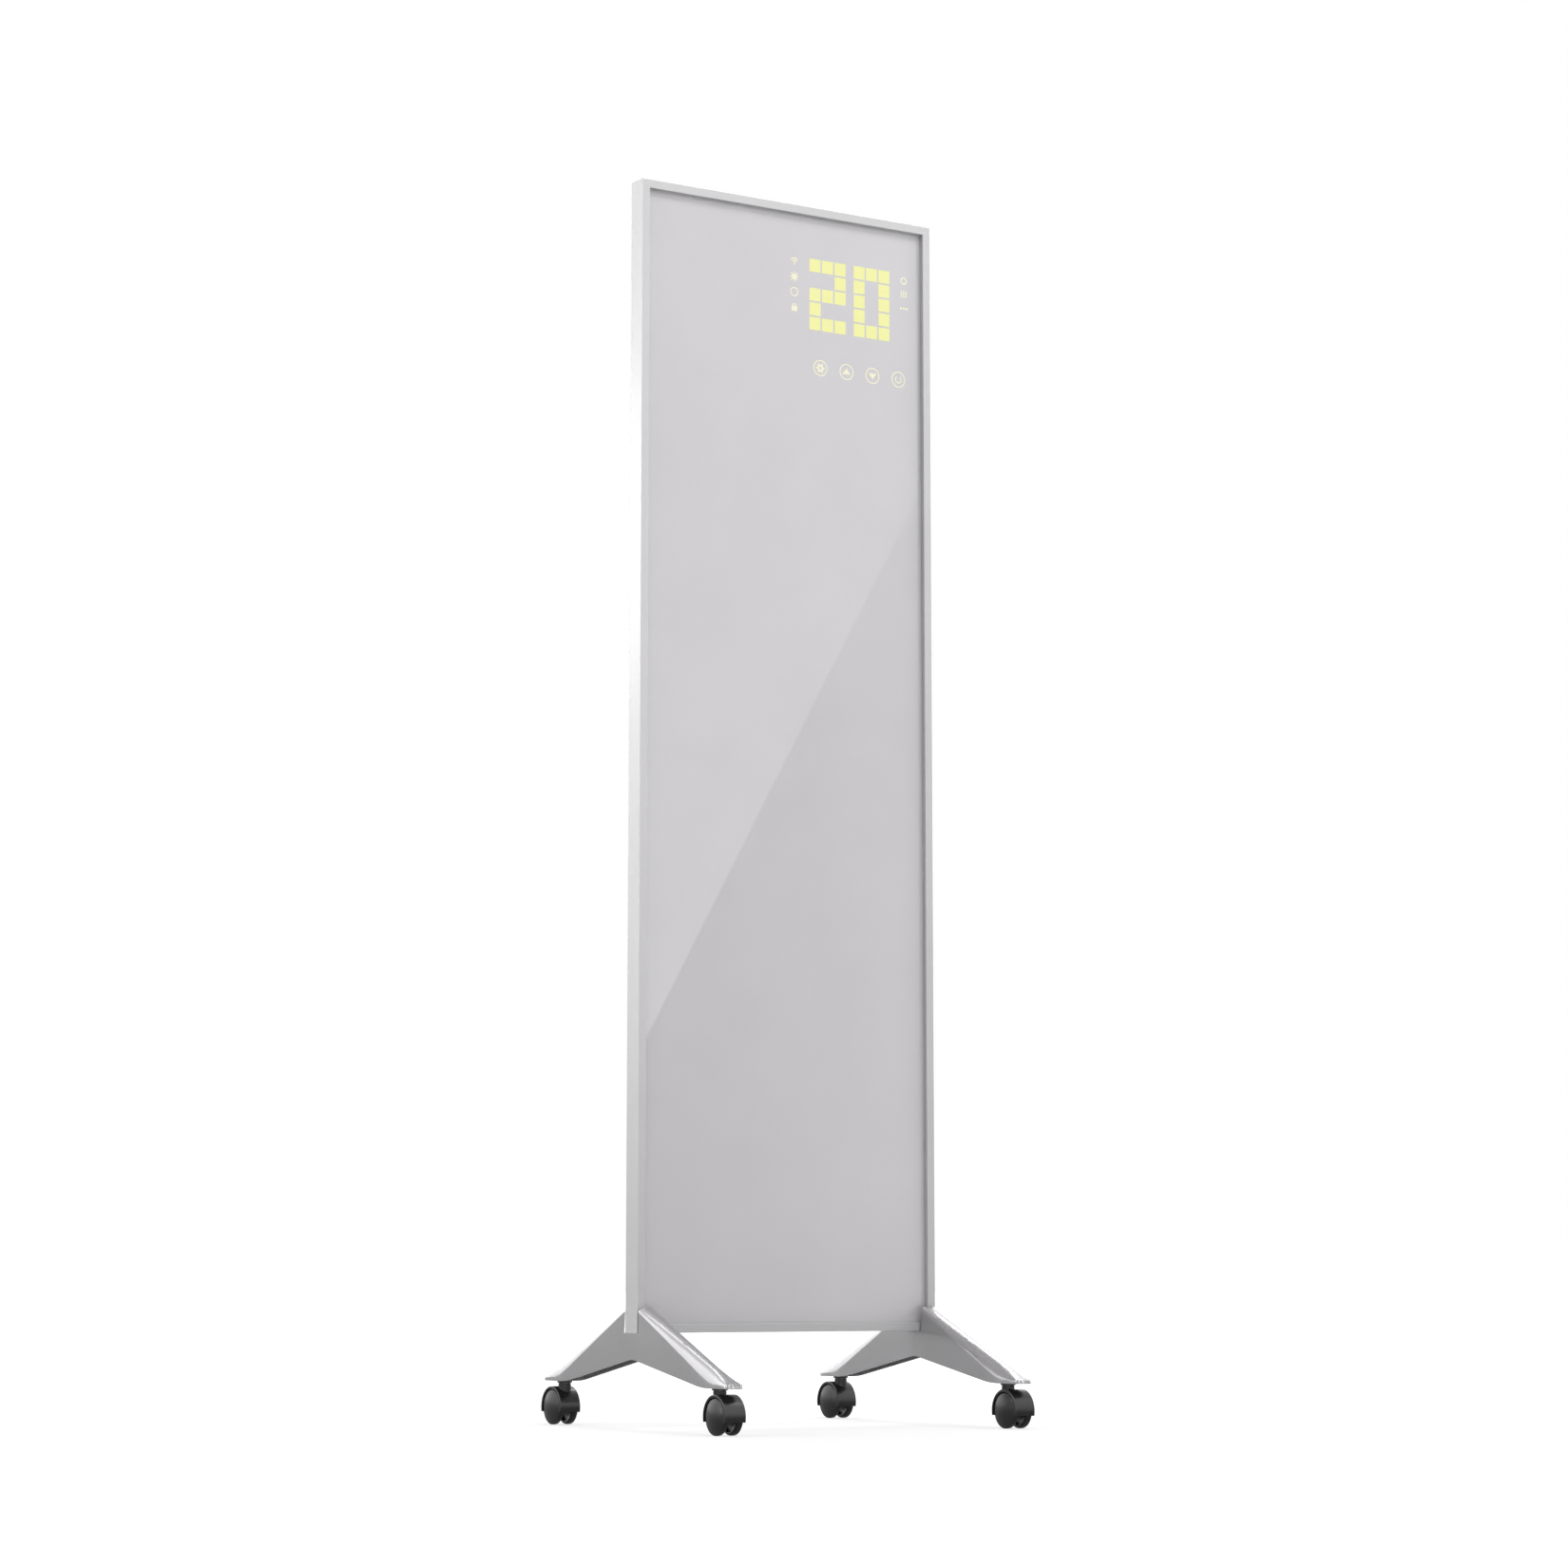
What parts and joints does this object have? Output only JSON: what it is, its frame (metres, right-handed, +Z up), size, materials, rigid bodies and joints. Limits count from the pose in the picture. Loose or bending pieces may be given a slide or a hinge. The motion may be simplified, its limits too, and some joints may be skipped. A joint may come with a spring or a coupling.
{
  "type": "infrared panel heater",
  "caption": "Tall glass-fronted infrared panel heater in a slim metal frame, standing on two cast legs with swivelling twin-wheel casters.",
  "frame": {"origin": "on the floor under the middle of the panel", "axes": "+Z up, the glass front faces -Y, +X to the right when one looks at the glass"},
  "size_m": [0.409, 0.426, 1.434],
  "materials": {
    "frame_metal": "satin anodised",
    "front_glass": "polished, colour-backed",
    "leg_paint": "satin metallic paint",
    "caster_black": "glossy moulded",
    "wheel_black": "glossy moulded",
    "cover_paint": "fine texture paint",
    "zinc_steel": "zinc plated",
    "cast_aluminium": "as cast",
    "seal_rubber": "matte",
    "film_black": "printed carbon film",
    "copper": "bare strip",
    "insulation": "mineral fibre",
    "black_plastic": "moulded",
    "white_plastic": "moulded",
    "circuit_board": "solder resist",
    "led_white": "clear epoxy",
    "lead_sheath": "matte"
  },
  "bodies": {
    "heater": {"busbars": "copper", "cable_gland": "black_plastic", "control_board": "circuit_board", "control_components": "black_plastic", "control_lid": "white_plastic", "control_tray": "white_plastic", "cross_rails": "zinc_steel", "display_board": "circuit_board", "display_leds": "led_white", "display_spacers": "white_plastic", "frame_bottom": "frame_metal", "frame_corner_keys": "zinc_steel", "frame_left": "frame_metal", "frame_right": "frame_metal", "frame_top": "frame_metal", "front_glass": "front_glass", "gland_nut": "black_plastic", "glass_gasket": "seal_rubber", "heater_leads": "lead_sheath", "heating_film": "film_black", "insulation_board": "insulation", "leg_anchor_blocks": "cast_aluminium", "leg_left": "leg_paint", "leg_right": "leg_paint", "leg_screws": "zinc_steel", "light_guide": "white_plastic", "rear_cover": "cover_paint", "rear_cover_screws": "zinc_steel", "ribbon_cable": "lead_sheath", "room_sensor": "black_plastic", "supply_lead": "lead_sheath", "terminal_block": "white_plastic", "thermal_cutouts": "black_plastic", "touch_springs": "zinc_steel", "wall_mount_inserts": "zinc_steel", "back_left_socket": "caster_black", "back_left_stem": "zinc_steel", "back_right_socket": "caster_black", "back_right_stem": "zinc_steel", "front_left_socket": "caster_black", "front_left_stem": "zinc_steel", "front_right_socket": "caster_black", "front_right_stem": "zinc_steel"},
    "front_left_swivel": {"front_left_housing": "caster_black", "front_left_axle": "zinc_steel"},
    "front_left_outer_roller": {"front_left_wheel_outer": "wheel_black"},
    "front_left_inner_roller": {"front_left_wheel_inner": "wheel_black"},
    "front_right_swivel": {"front_right_housing": "caster_black", "front_right_axle": "zinc_steel"},
    "front_right_outer_roller": {"front_right_wheel_outer": "wheel_black"},
    "front_right_inner_roller": {"front_right_wheel_inner": "wheel_black"},
    "back_left_swivel": {"back_left_housing": "caster_black", "back_left_axle": "zinc_steel"},
    "back_left_outer_roller": {"back_left_wheel_outer": "wheel_black"},
    "back_left_inner_roller": {"back_left_wheel_inner": "wheel_black"},
    "back_right_swivel": {"back_right_housing": "caster_black", "back_right_axle": "zinc_steel"},
    "back_right_outer_roller": {"back_right_wheel_outer": "wheel_black"},
    "back_right_inner_roller": {"back_right_wheel_inner": "wheel_black"}
  },
  "joints": [
    {"name": "front_left_swivel_turn", "type": "hinge", "parent": "heater", "child": "front_left_swivel", "pos_m": [-0.189, -0.1765, 0.044], "axis": [0, 0, 1], "continuous": true},
    {"name": "front_left_outer_roll", "type": "hinge", "parent": "front_left_swivel", "child": "front_left_outer_roller", "pos_m": [-0.189, -0.186, 0.02], "axis": [1, 0, 0], "continuous": true},
    {"name": "front_left_inner_roll", "type": "hinge", "parent": "front_left_swivel", "child": "front_left_inner_roller", "pos_m": [-0.189, -0.186, 0.02], "axis": [1, 0, 0], "continuous": true},
    {"name": "front_right_swivel_turn", "type": "hinge", "parent": "heater", "child": "front_right_swivel", "pos_m": [0.189, -0.1765, 0.044], "axis": [0, 0, 1], "continuous": true},
    {"name": "front_right_outer_roll", "type": "hinge", "parent": "front_right_swivel", "child": "front_right_outer_roller", "pos_m": [0.189, -0.186, 0.02], "axis": [1, 0, 0], "continuous": true},
    {"name": "front_right_inner_roll", "type": "hinge", "parent": "front_right_swivel", "child": "front_right_inner_roller", "pos_m": [0.189, -0.186, 0.02], "axis": [1, 0, 0], "continuous": true},
    {"name": "back_left_swivel_turn", "type": "hinge", "parent": "heater", "child": "back_left_swivel", "pos_m": [-0.189, 0.1765, 0.044], "axis": [0, 0, 1], "continuous": true},
    {"name": "back_left_outer_roll", "type": "hinge", "parent": "back_left_swivel", "child": "back_left_outer_roller", "pos_m": [-0.189, 0.186, 0.02], "axis": [1, 0, 0], "continuous": true},
    {"name": "back_left_inner_roll", "type": "hinge", "parent": "back_left_swivel", "child": "back_left_inner_roller", "pos_m": [-0.189, 0.186, 0.02], "axis": [1, 0, 0], "continuous": true},
    {"name": "back_right_swivel_turn", "type": "hinge", "parent": "heater", "child": "back_right_swivel", "pos_m": [0.189, 0.1765, 0.044], "axis": [0, 0, 1], "continuous": true},
    {"name": "back_right_outer_roll", "type": "hinge", "parent": "back_right_swivel", "child": "back_right_outer_roller", "pos_m": [0.189, 0.186, 0.02], "axis": [1, 0, 0], "continuous": true},
    {"name": "back_right_inner_roll", "type": "hinge", "parent": "back_right_swivel", "child": "back_right_inner_roller", "pos_m": [0.189, 0.186, 0.02], "axis": [1, 0, 0], "continuous": true}
  ]
}
